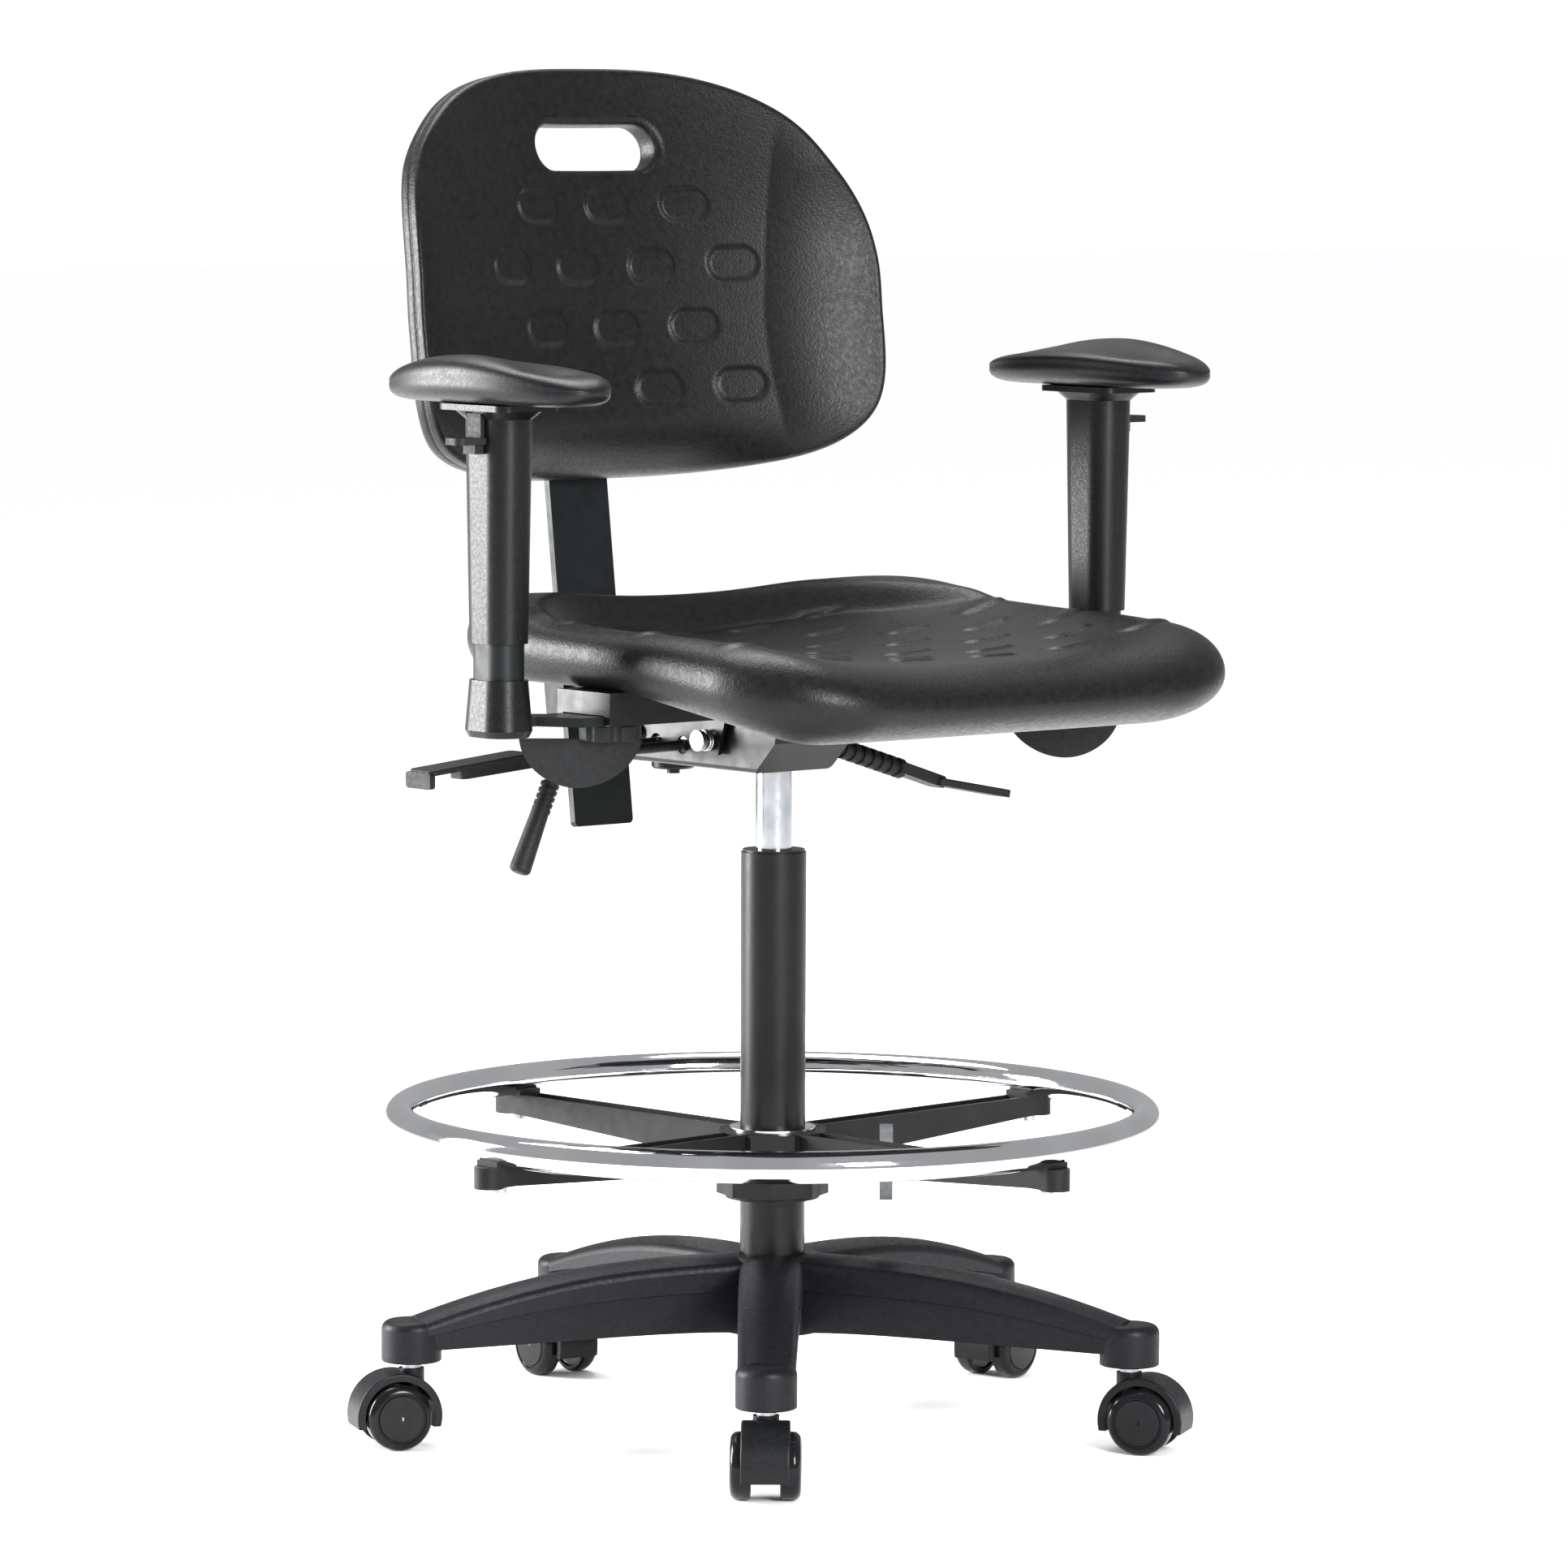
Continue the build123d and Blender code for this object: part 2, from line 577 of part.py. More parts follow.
def paddle(inner, outer, half_width, thick):
    """A flat lever blade between two points of the XZ plane, with rounded corners."""
    a, b = Vector(*inner), Vector(*outer)
    along = b - a
    plane = Plane(origin=(a + b) * 0.5, x_dir=along, z_dir=(0, 0, 1) if along.Z == 0 else
                  along.cross(Vector(0, 1, 0)))
    blade = Box(along.length, 2 * half_width, thick)
    blade = fillet(blade.edges().filter_by(Axis.Z), 5)
    return plane * fillet(blade.edges().group_by(Axis.Z)[-1], 1.2)


def height_lever():
    """Seat height lever: crank over the release pin, shaft, boot and blade."""
    y = HEIGHT_LEVER_Y
    px, pz = HEIGHT_PIVOT
    crank = block(-3, 28, y - 5, y + 5, PIN_TOP + GAP, PIN_TOP + 3.5)
    crank += block(-4, 4, y, 5, PIN_TOP + GAP, PIN_TOP + 3.5)
    crank += block(24, 28, y - 5, y + 5, pz - 3, PIN_TOP + 3.5)
    crank += rod((26, y, pz), (60, y, pz - 6), 5)
    crank += boot((48, y, pz - 3.8), (112, y, 503), 6.5, 7)
    crank += paddle((104, y, 506), (150, y, 491), 10, 9)
    crank += paddle((140, y, 493), (214, y, 479), 14, 6)
    return crank + barrel(px, y, pz, 4.5, 12)


def seat_angle_lever():
    """Seat angle lever: shaft out of the housing and a flat blade with a turned-down lip."""
    y = SEAT_LEVER_Y
    px, pz = LEVER_PIVOT
    lever = rod((px + 1, y, pz), (-110, y, pz - 2), 4)
    lever += boot((-62, y, pz - 0.6), (-112, y, pz - 2), 6, 6)
    lever += paddle((-232, y, 511), (-106, y, 521), 10, 9)
    lever += paddle((-266, y, 513), (-168, y, 522), 15, 4)
    lip = block(-268, -263, y - 15, y + 15, 501, 513.5)
    return lever + fillet(lip.edges().filter_by(Axis.X), 3) + barrel(px, y, pz, 4.3, 10)


def back_angle_lever():
    """Back angle lever: rod that turns down into a ribbed boot and a round grip."""
    y = BACK_LEVER_Y
    px, pz = LEVER_PIVOT
    knee = (-152, y - 2, pz - 2)
    top = (-172, y - 3, 496)
    bottom = (-200, y - 4, 436)
    lever = bent_rod([(px + 1, y, pz), knee, top], 14, 4)
    lever += boot((-168.5, y - 3, 503), (-179, y - 3, 480), 6, 5)
    grip = rod(bottom, (-177, y - 3, 485), 8.5, 6.8)
    return lever + fillet(grip.edges().sort_by(Axis.Z)[0], 4) + barrel(px, y, pz, 4.3, 10)


# ---------------------------------------------------------------- seat
def seat():
    """Moulded seat: rounded plan, raised rim, dished middle and a dropped front edge."""
    depth = SEAT_REAR - SEAT_FRONT
    middle = (SEAT_REAR + SEAT_FRONT) / 2
    plan = Pos(0, middle, 540) * RectangleRounded(2 * SEAT_HALF, depth, 92)
    body = extrude(plan, amount=120)
    with BuildSketch(Plane.YZ) as side:
        with BuildLine():
            Line((SEAT_REAR + 5, SEAT_UNDER), (-120, SEAT_UNDER))
            Spline((-120, SEAT_UNDER), (-200, 575), (-270, 556), (-296, 552))
            Line((-296, 552), (SEAT_FRONT - 5, 556))
            Line((SEAT_FRONT - 5, 556), (SEAT_FRONT - 5, 592))
            Spline((SEAT_FRONT - 5, 592), (-280, 612), (-200, 628), (-60, 637), (60, 645), (110, 646))
            Line((110, 646), (SEAT_REAR + 5, 628))
            Line((SEAT_REAR + 5, 628), (SEAT_REAR + 5, SEAT_UNDER))
        make_face()
    body &= extrude(side.sketch, amount=SEAT_HALF + 5, both=True)
    dish = Pos(0, -45, 640) * Box(370, 250, 76)
    dish = fillet(dish.edges().filter_by(Axis.Z), 60)
    dish = fillet(dish.edges().group_by(Axis.Z)[0], 28)
    body -= dish
    for x, y in SEAT_SCREWS:
        body -= Pos(x, y, 0) * drum(3.02, 570, 597)
    return body



# ---------------------------------------------------------------- back
def rest_plane():
    """Frame of the backrest: local Z runs up it, local Y points backwards."""
    tilt = radians(REST_LEAN)
    return Plane(origin=(0, REST_Y, REST_Z), x_dir=(1, 0, 0), z_dir=(0, sin(tilt), cos(tilt)))


def outline_corner(tall, power, steps):
    """Points of a superellipse from the shoulder's side to the middle, at even turns."""
    points = []
    for index in range(steps + 1):
        turned = radians(90 * index / steps)
        across, up = cos(turned), sin(turned)
        reach = (across ** power + up ** power) ** (-1 / power)
        points.append((REST_HALF * reach * across, REST_SHOULDER + tall * reach * up))
    return points


def rest_outline():
    """Backrest outline: a rounded arch over the shoulder and squarer corners below it."""
    arch = outline_corner(REST_TOP - REST_SHOULDER, 2.7, 8)
    foot = outline_corner(REST_LOW - REST_SHOULDER, 4.5, 8)
    upper = arch + [(-x, z) for x, z in reversed(arch[:-1])]
    lower = foot + [(-x, z) for x, z in reversed(foot[:-1])]
    with BuildSketch(Plane.XZ) as outline:
        with BuildLine():
            Spline(*upper, tangents=[(0, 1), (0, -1)])
            Spline(*lower, tangents=[(0, -1), (0, 1)])
        make_face()
    return outline.sketch


def backrest():
    """Moulded backrest: a curved slab with a hand slot and a boss for the bar."""
    slab = Pos(0, -REST_R, 0) * Cylinder(REST_R + REST_T, 340)
    slab -= Pos(0, -REST_R, 0) * Cylinder(REST_R, 342)
    slab &= extrude(rest_outline(), amount=200, both=True)
    slot = extrude(Plane.XZ * Pos(0, 94) * SlotOverall(118, 36), amount=200, both=True)
    slab = rest_plane().location * (slab - slot)
    boss = block(-62, 62, -70, 11, 176, 300)
    boss = fillet(boss.edges().filter_by(Axis.Z), 9)
    boss = fillet(boss.edges().group_by(Axis.Z)[-1], 8)
    rest = slab + lean_plane().location * boss
    rest -= rest_plane().location * block(-230, 230, -80, 0, -200, 200) & keep_front()
    half, thick = BACK_BAR_HALF + 0.1, BACK_BAR_T / 2 + 0.1
    rest -= lean_plane().location * block(-half, half, -thick, thick, 150, 286)
    for height in BACK_SCREW_HEIGHTS:
        rest -= lean_plane().location * (Pos(0, 0, height) * back_screw(0.02))
    return rest


def keep_front():
    """The hollow in front of the backrest's curved face."""
    return rest_plane().location * (Pos(0, -REST_R, 0) * Cylinder(REST_R, 400))


def back_screw(spare):
    """One screw from behind through the boss and the bar, its head at the back."""
    shank = Pos(0, -2, 0) * Rot(90, 0, 0) * Cylinder(4 + spare, 30)
    head = Pos(0, 11.5, 0) * Rot(90, 0, 0) * Cylinder(8 + spare, 4)
    return shank + head


def back_screws():
    """The screws that hold the backrest to its bar."""
    place = lean_plane().location
    return Compound(children=[place * (Pos(0, 0, z) * back_screw(0)) for z in BACK_SCREW_HEIGHTS])


def back_bar():
    """Flat steel bar with rounded lower corners and two screw holes."""
    half, thick = BACK_BAR_HALF, BACK_BAR_T / 2
    bar = block(-half, half, -thick, thick, -107, 285)
    bar = fillet(bar.edges().filter_by(Axis.Y), 4)
    for height in BACK_SCREW_HEIGHTS:
        bar -= Pos(0, 0, height) * Rot(90, 0, 0) * Cylinder(4.02, 20)
    return lean_plane().location * bar


# ---------------------------------------------------------------- arms (drawn for the sitter's left)
def arm_bar():
    """Cranked flat bar with its clamp slot, welded to the upright tube."""
    bar = block(120, 256, GUIDE_Y - BAR_HALF, GUIDE_Y + BAR_HALF, BAR_BOTTOM, BAR_TOP)
    bar = fillet(bar.edges().filter_by(Axis.Z), 8)
    half = POST_HALF
    neck = [(236, GUIDE_Y - BAR_HALF), (254, GUIDE_Y - BAR_HALF), (274, POST_Y - half),
            (312, POST_Y - half), (312, POST_Y + half), (268, POST_Y + half),
            (252, GUIDE_Y + BAR_HALF), (236, GUIDE_Y + BAR_HALF)]
    bar += extrude(Pos(0, 0, BAR_BOTTOM) * make_face(Polyline(*neck, close=True)),
                   amount=BAR_TOP - BAR_BOTTOM)
    slot_x0, slot_x1 = CLAMP_X - 46, CLAMP_X + 21
    slot = SlotOverall(slot_x1 - slot_x0, 9)
    bar -= extrude(Pos((slot_x0 + slot_x1) / 2, GUIDE_Y, BAR_BOTTOM - 1) * slot, amount=12)
    outer = extrude(oval(15, 20, 13.5, BAR_TOP - 2, (POST_X, POST_Y)), amount=POST_TOP - BAR_TOP)
    inner = extrude(oval(13, 18, 11.5, BAR_TOP, (POST_X, POST_Y)), amount=POST_TOP + 5 - BAR_TOP)
    return bar + (outer - inner)


def arm_boot():
    """Plastic boot over the foot of the upright."""
    place = (POST_X, POST_Y)
    body = loft([oval(18.2, 23.5, 16.5, 551, place), oval(20.3, 25.8, 17.5, 556, place)])
    body += loft([oval(20.3, 25.8, 17.5, 556, place), oval(17.6, 23.0, 16, 593, place)])
    body -= extrude(oval(15.02, 20.02, 13.5, BAR_TOP - 3, place), amount=60)
    half = POST_HALF + 0.1
    body -= block(200, 313, POST_Y - half, POST_Y + half, BAR_BOTTOM - 0.05, BAR_TOP + 0.05)
    return body


def arm_sleeve():
    """Tapered outer sleeve with the flange that the pad sits on."""
    place = (POST_X, POST_Y)
    body = loft([oval(17.3, 23.3, 16, 620, place), oval(19.0, 26.6, 17, 784, place)])
    body += loft([oval(19.0, 26.6, 17, 784, place), oval(24.5, 33.0, 17, 791, place)])
    flange = extrude(oval(28, 41, 10, 790.5, place), amount=PAD_UNDER - 790.5)
    body += flange
    body -= extrude(oval(15.4, 20.4, 13.8, 610, place), amount=168)
    notch = block(POST_X + 19.3, POST_X + 32, POST_Y - 10.4, POST_Y + 10.4, 757, 789.4)
    return body - notch


def arm_button():
    """Release lever on the outer face, under the flange: tab, finger paddle and nub."""
    x = POST_X + 19.6
    tab = block(x, x + 3.5, POST_Y - 8, POST_Y + 8, 768, 788.5)
    finger = block(x, x + 25, POST_Y - 10, POST_Y + 10, 766, 771)
    finger = fillet(finger.edges().filter_by(Axis.Z).group_by(Axis.X)[-1], 6)
    nub = block(x, x + 8, POST_Y - 7, POST_Y + 7, 759, 766)
    pivot = Pos(POST_X + 21.5, POST_Y, 787) * Rot(90, 0, 0) * Cylinder(1.7, 16)
    return tab + finger + nub + pivot


def arm_pad():
    """Moulded armrest pad: rounded ends, on the flange."""
    plan = oval(PAD_WIDTH / 2, PAD_LENGTH / 2, PAD_WIDTH / 2 - 0.5, PAD_UNDER, (POST_X, POST_Y))
    body = extrude(plan, amount=PAD_HEIGHT)
    body = fillet(body.edges().group_by(Axis.Z)[-1], 12)
    return fillet(body.edges().group_by(Axis.Z)[0], 7)


def width_clamp():
    """Half-moon clamp handle hanging from a scalloped collar, with its stud."""
    top = BAR_BOTTOM - 0.8
    collar = Pos(0, 0, top - 12) * lobed_disc(23, 12, 7, 2.5)
    stud = drum(4, top - 2, 573)
    with BuildSketch(Plane.XZ) as outline:
        with BuildLine():
            Line((-24, top - 11.5), (67, top - 11.5))
            Spline((67, top - 11.5), (56, top - 34), (30, top - 47), (0, top - 41), (-24, top - 11.5))
        make_face()
    wing = extrude(outline.sketch, amount=5.5, both=True)
    handle = turn(collar + stud + wing, KNOB_TURN)
    return Pos(CLAMP_X, GUIDE_Y, 0) * handle


# ---------------------------------------------------------------- write every piece
def write_base():
    """Base, casters and column."""
    save("base_star", base_star())
    save("caster_stems", caster_stems())
    hood, axle = caster_hood(), caster_axle()
    left, right = caster_wheel(1), caster_wheel(-1)
    for index in range(ARM_COUNT):
        name = "caster_" + str(index + 1)
        place = caster_place(index)
        save(name + "_hood", place * hood)
        save(name + "_axle", place * axle)
        save(name + "_wheel_left", place * left)
        save(name + "_wheel_right", place * right)
    save("column_tube", column_tube())
    save("column_bush", column_bush())
    save("column_bearing", column_bearing())
    save("piston_rod", piston_rod())
    save("gas_cylinder", gas_cylinder())
    save("release_pin", release_pin())


def write_foot_ring():
    """Foot ring and its carrier."""
    save("foot_ring", foot_ring())
    save("foot_ring_spider", foot_ring_spider())
    save("spider_bush", spider_bush())
    save("foot_ring_screws", foot_ring_screws())
    save("clamp_knob", clamp_knob())


def write_mechanism():
    """Mechanism, levers and what they carry."""
    save("mechanism_housing", mechanism_housing())
    save("pivot_pins", pivot_pins())
    save("tension_knob", tension_knob())
    save("tilt_springs", tilt_springs())
    save("seat_plate", seat_plate())
    save("seat_screws", seat_screws())
    save("height_lever", height_lever())
    save("seat_angle_lever", seat_angle_lever())
    save("back_angle_lever", back_angle_lever())
    save("back_bracket", back_bracket())
    save("back_height_knob", back_height_knob())


def write_seat_and_back():
    """Seat, backrest and the bar between them."""
    save("seat", seat())
    save("back_bar", back_bar())
    save("backrest", backrest())
    save("back_screws", back_screws())


def write_arms():
    """Both arms: drawn on the sitter's left, mirrored to the right."""
    pieces = {"arm_bar": arm_bar(), "arm_boot": arm_boot(), "arm_sleeve": arm_sleeve(),
              "arm_button": arm_button(), "arm_pad": arm_pad()}
    for name, shape in pieces.items():
        save("left_" + name, shape)
        save("right_" + name, mirror(shape, about=Plane.YZ))
    clamp = width_clamp()
    save("left_width_clamp", clamp)
    shifted = Pos(-CLAMP_X, GUIDE_Y, 0) * Rot(0, 0, 180) * Pos(-CLAMP_X, -GUIDE_Y, 0) * clamp
    save("right_width_clamp", shifted)


def main():
    """Build the whole chair."""
    os.makedirs("parts", exist_ok=True)
    write_base()
    write_foot_ring()
    write_mechanism()
    write_seat_and_back()
    write_arms()


main()
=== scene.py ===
"""Looks of the drafting chair: moulded polyurethane seat, back and arm pads, and the finishes
of its steel, chrome and nylon parts.

Metres, in the chair's own frame: the origin is on the floor under the column, +Z up, and the
sitter faces -Y, so +X is the sitter's left. Shapes are worked out in millimetres and scaled once.
"""
import math

import bpy
import numpy as np
from mathutils import Matrix, Vector


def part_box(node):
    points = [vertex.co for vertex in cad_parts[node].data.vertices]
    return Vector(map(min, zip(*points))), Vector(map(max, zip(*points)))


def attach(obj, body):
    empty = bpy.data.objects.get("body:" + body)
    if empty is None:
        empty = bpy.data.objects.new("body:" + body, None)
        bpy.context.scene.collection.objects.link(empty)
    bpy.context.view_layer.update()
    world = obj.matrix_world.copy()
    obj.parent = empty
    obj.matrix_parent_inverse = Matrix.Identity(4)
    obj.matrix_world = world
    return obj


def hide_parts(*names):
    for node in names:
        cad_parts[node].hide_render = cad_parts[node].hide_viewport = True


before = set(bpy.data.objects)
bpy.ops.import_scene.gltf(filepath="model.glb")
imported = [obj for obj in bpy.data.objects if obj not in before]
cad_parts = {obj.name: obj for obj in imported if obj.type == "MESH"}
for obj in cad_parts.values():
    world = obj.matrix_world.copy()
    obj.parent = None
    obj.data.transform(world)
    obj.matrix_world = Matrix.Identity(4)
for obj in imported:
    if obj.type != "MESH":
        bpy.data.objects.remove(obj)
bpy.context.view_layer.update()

MM = 0.001

# ------------------------------------------------------------------ camera and lights
CAMERA_HEADING = 40.0   # degrees from the chair's front towards the sitter's right
CAMERA_PITCH = 5.29     # degrees down
CAMERA_ROLL = 0.0039    # radians
CAMERA_PLACE = (-3.6849, -4.4034, 1.0282)
CAMERA_LENS = 173.5     # on a 36 mm sensor


def add_camera():
    """A long lens, level with the backrest, looking at the chair's front right corner."""
    heading, pitch = math.radians(CAMERA_HEADING), math.radians(CAMERA_PITCH)
    forward = Vector((math.sin(heading) * math.cos(pitch), math.cos(heading) * math.cos(pitch),
                      -math.sin(pitch)))
    data = bpy.data.cameras.new("view_camera")
    data.lens = CAMERA_LENS
    data.sensor_width = 36.0
    data.clip_end = 60.0
    camera = bpy.data.objects.new("view_camera", data)
    turn = forward.to_track_quat("-Z", "Y").to_matrix().to_4x4()
    camera.matrix_world = Matrix.Translation(CAMERA_PLACE) @ turn @ Matrix.Rotation(CAMERA_ROLL, 4, "Z")
    bpy.context.scene.collection.objects.link(camera)
    bpy.context.scene.camera = camera


def add_softbox(name, place, size, power, target=(0.0, 0.0, 0.65)):
    """A rectangular area light aimed at the chair."""
    data = bpy.data.lights.new(name, "AREA")
    data.shape = "RECTANGLE"
    data.size, data.size_y = size
    data.energy = power
    light = bpy.data.objects.new(name, data)
    place = Vector(place)
    turn = (Vector(target) - place).to_track_quat("-Z", "Y").to_matrix().to_4x4()
    light.matrix_world = Matrix.Translation(place) @ turn
    bpy.context.scene.collection.objects.link(light)


# ------------------------------------------------------------------ materials
GRAIN_MM = 2.0           # pebble of the moulded skin, drawn coarser than the real 0.8 mm to show
CLOUD_MM = 30.0          # slow change of tone in a paint film
GLOSS_PATCH_MM = 12.0    # patches of more and less gloss in it
POLYMER_IOR, POLYMER_SPECULAR = 1.49, 0.2    # matt skins reflect less than their index alone gives
PAINT_IOR, PAINT_SPECULAR = 1.5, 0.22


def linear(code):
    """An sRGB hex colour as linear RGBA."""
    parts = np.array([int(code[i:i + 2], 16) for i in (1, 3, 5)]) / 255
    parts = np.where(parts <= 0.04045, parts / 12.92, ((parts + 0.055) / 1.055) ** 2.4)
    return (*parts.tolist(), 1.0)


def add(tree, kind, inputs=None, **settings):
    """Add one node: settings are its own properties, inputs are socket values or linked sockets."""
    made = tree.nodes.new(kind)
    for name, value in settings.items():
        setattr(made, name, value)
    for key, value in (inputs or {}).items():
        if isinstance(value, bpy.types.NodeSocket):
            tree.links.new(value, made.inputs[key])
        else:
            made.inputs[key].default_value = value
    return made


def new_material(name):
    """An empty node material, with its tree."""
    material = bpy.data.materials.new(name)
    material.use_nodes = True
    material.node_tree.nodes.clear()
    return material, material.node_tree


def close_material(tree, shader):
    """Send the shader to the surface."""
    add(tree, "ShaderNodeOutputMaterial", {"Surface": shader.outputs[0]})


def blotch(tree, place, size_mm, low, high):
    """Soft noise of one real size. The noise stays within 0.18 of a half, and that span is spread
    between two values."""
    noise = add(tree, "ShaderNodeTexNoise", {"Vector": place, "Scale": 1 / (size_mm * MM),
                                             "Detail": 2.0})
    spread = add(tree, "ShaderNodeMapRange", {"Value": noise.outputs["Fac"], "From Min": 0.32,
                                              "From Max": 0.68, "To Min": low, "To Max": high})
    return spread.outputs["Result"]


def two_tone(tree, share, dark, light):
    """A colour between two, by a share."""
    tone = add(tree, "ShaderNodeMix", {"Factor": share}, data_type="RGBA")
    colours = [socket for socket in tone.inputs if socket.type == "RGBA"]
    colours[0].default_value, colours[1].default_value = linear(dark), linear(light)
    return next(socket for socket in tone.outputs if socket.type == "RGBA")


def moulded(name, dark, light, roughness, grain_mm, depth_mm):
    """A moulded plastic or foam skin: fine pebble grain in the bump, soft change of tone and gloss."""
    material, tree = new_material(name)
    place = add(tree, "ShaderNodeTexCoord").outputs["Object"]
    tone = two_tone(tree, blotch(tree, place, 3 * grain_mm, 0, 1), dark, light)
    gloss = blotch(tree, place, 2 * grain_mm, roughness - 0.05, roughness + 0.06)
    pebble = add(tree, "ShaderNodeTexVoronoi", {"Vector": place, "Scale": 1 / (grain_mm * MM)},
                 feature="SMOOTH_F1")
    grit = add(tree, "ShaderNodeTexNoise", {"Vector": place, "Scale": 1.6 / (grain_mm * MM),
                                            "Detail": 3.0})
    height = add(tree, "ShaderNodeMath", {0: pebble.outputs["Distance"], 1: grit.outputs["Fac"]},
                 operation="ADD")
    bump = add(tree, "ShaderNodeBump", {"Height": height.outputs[0], "Strength": 1.0,
                                        "Distance": depth_mm * MM})
    shader = add(tree, "ShaderNodeBsdfPrincipled", {
        "Base Color": tone, "Roughness": gloss, "IOR": POLYMER_IOR, "Normal": bump.outputs[0],
        "Specular IOR Level": POLYMER_SPECULAR})
    close_material(tree, shader)
    return material


def coated(name, dark, light, roughness, peel_mm, depth_mm):
    """Painted or powder-coated steel: a slight orange peel under an even film."""
    material, tree = new_material(name)
    place = add(tree, "ShaderNodeTexCoord").outputs["Object"]
    tone = two_tone(tree, blotch(tree, place, CLOUD_MM, 0, 1), dark, light)
    peel = add(tree, "ShaderNodeTexNoise", {"Vector": place, "Scale": 1 / (peel_mm * MM),
                                            "Detail": 2.0})
    bump = add(tree, "ShaderNodeBump", {"Height": peel.outputs["Fac"], "Strength": 1.0,
                                        "Distance": depth_mm * MM})
    shader = add(tree, "ShaderNodeBsdfPrincipled", {
        "Base Color": tone, "IOR": PAINT_IOR, "Normal": bump.outputs[0],
        "Roughness": blotch(tree, place, GLOSS_PATCH_MM, roughness - 0.04, roughness + 0.05),
        "Specular IOR Level": PAINT_SPECULAR})
    close_material(tree, shader)
    return material


def bare_metal(name, dark, light, roughness, smear_mm, depth_mm):
    """Bare or plated metal: faint smears in its gloss and tone."""
    material, tree = new_material(name)
    place = add(tree, "ShaderNodeTexCoord").outputs["Object"]
    tone = two_tone(tree, blotch(tree, place, 3 * smear_mm, 0, 1), dark, light)
    smear = add(tree, "ShaderNodeTexNoise", {"Vector": place, "Scale": 1 / (smear_mm * MM),
                                             "Detail": 3.0})
    bump = add(tree, "ShaderNodeBump", {"Height": smear.outputs["Fac"], "Strength": 1.0,
                                        "Distance": depth_mm * MM})
    shader = add(tree, "ShaderNodeBsdfPrincipled", {
        "Base Color": tone, "Metallic": 1.0, "Normal": bump.outputs[0],
        "Roughness": blotch(tree, place, smear_mm, max(roughness - 0.03, 0.02), roughness + 0.03)})
    close_material(tree, shader)
    return material


# ------------------------------------------------------------------ surface helpers
def smooth(x, low, high):
    """0 below low, 1 above high, and an S-curve between them."""
    t = np.clip((x - low) / (high - low), 0, 1)
    return t * t * (3 - 2 * t)


def pillow(across, along, half_across, half_along, soft):
    """Height, 0 to 1, of a flat-topped stadium-shaped pebble: 1 inside, falling along a soft wall
    to 0 where rho, the distance from its middle line over its half width, reaches 1."""
    off_line = np.maximum(np.abs(across) - (half_across - half_along), 0)
    return smooth(1 - np.hypot(off_line, along) / half_along, 0, soft)


def make_surface(name, rings, first=None, last=None):
    """Mesh of a grid of points, ring after ring. Each ring closes on itself; first and last are the
    poles that close the ends, and with no poles the last ring joins the first."""
    count, around = rings.shape[:2]
    index = np.arange(count * around).reshape(count, around)
    if first is None:
        index = np.vstack([index, index[:1]])
    a, b = index[:-1], index[1:]
    quads = np.stack([a, np.roll(a, -1, 1), np.roll(b, -1, 1), b], -1).reshape(-1, 4)
    points, faces = rings.reshape(-1, 3), quads.tolist()
    if first is not None:
        points = np.vstack([points, first, last])
        top, low = index[0], index[-1]
        pole = np.full(around, count * around)
        faces += np.stack([pole, np.roll(top, -1), top], -1).tolist()
        faces += np.stack([pole + 1, low, np.roll(low, -1)], -1).tolist()
    mesh = bpy.data.meshes.new(name)
    mesh.from_pydata((points * MM).tolist(), [], faces)
    corner = points[quads]
    volume = np.einsum("ij,ij->", corner[:, 0], np.cross(corner[:, 1], corner[:, 2]))
    volume += np.einsum("ij,ij->", corner[:, 0], np.cross(corner[:, 2], corner[:, 3]))
    if volume < 0:
        mesh.flip_normals()
    mesh.shade_smooth()
    piece = bpy.data.objects.new(name, mesh)
    bpy.context.scene.collection.objects.link(piece)
    return piece


def rounded_rectangle(half_x, half_y, corner, count):
    """Corner centres and outward normals at equal steps round a rectangle with round corners:
    a point is its corner centre plus the corner radius along the normal."""
    a, b, quarter = half_x - corner, half_y - corner, corner * math.pi / 2
    steps = np.cumsum([0, b, quarter, 2 * a, quarter, 2 * b, quarter, 2 * a, quarter, b])
    along = np.arange(count) / count * steps[-1]
    angle = np.interp(along, steps, np.repeat(np.arange(5), 2) * math.pi / 2)
    x = np.interp(along, steps, [a, a, a, -a, -a, -a, -a, a, a, a])
    y = np.interp(along, steps, [0, b, b, b, b, -b, -b, -b, -b, 0])
    return np.stack([x, y], -1), np.stack([np.cos(angle), np.sin(angle)], -1)


def equal_steps(x, y, count):
    """A closed outline resampled at equal steps, from its first point."""
    x, y = np.append(x, x[0]), np.append(y, y[0])
    run = np.append(0, np.cumsum(np.hypot(np.diff(x), np.diff(y))))
    at = np.arange(count) / count * run[-1]
    return np.stack([np.interp(at, run, x), np.interp(at, run, y)], -1)


def outward(outline):
    """Unit normals of a closed outline that runs clockwise."""
    step = np.roll(outline, -1, 0) - np.roll(outline, 1, 0)
    step /= np.linalg.norm(step, axis=1, keepdims=True)
    return np.stack([-step[:, 1], step[:, 0]], -1)


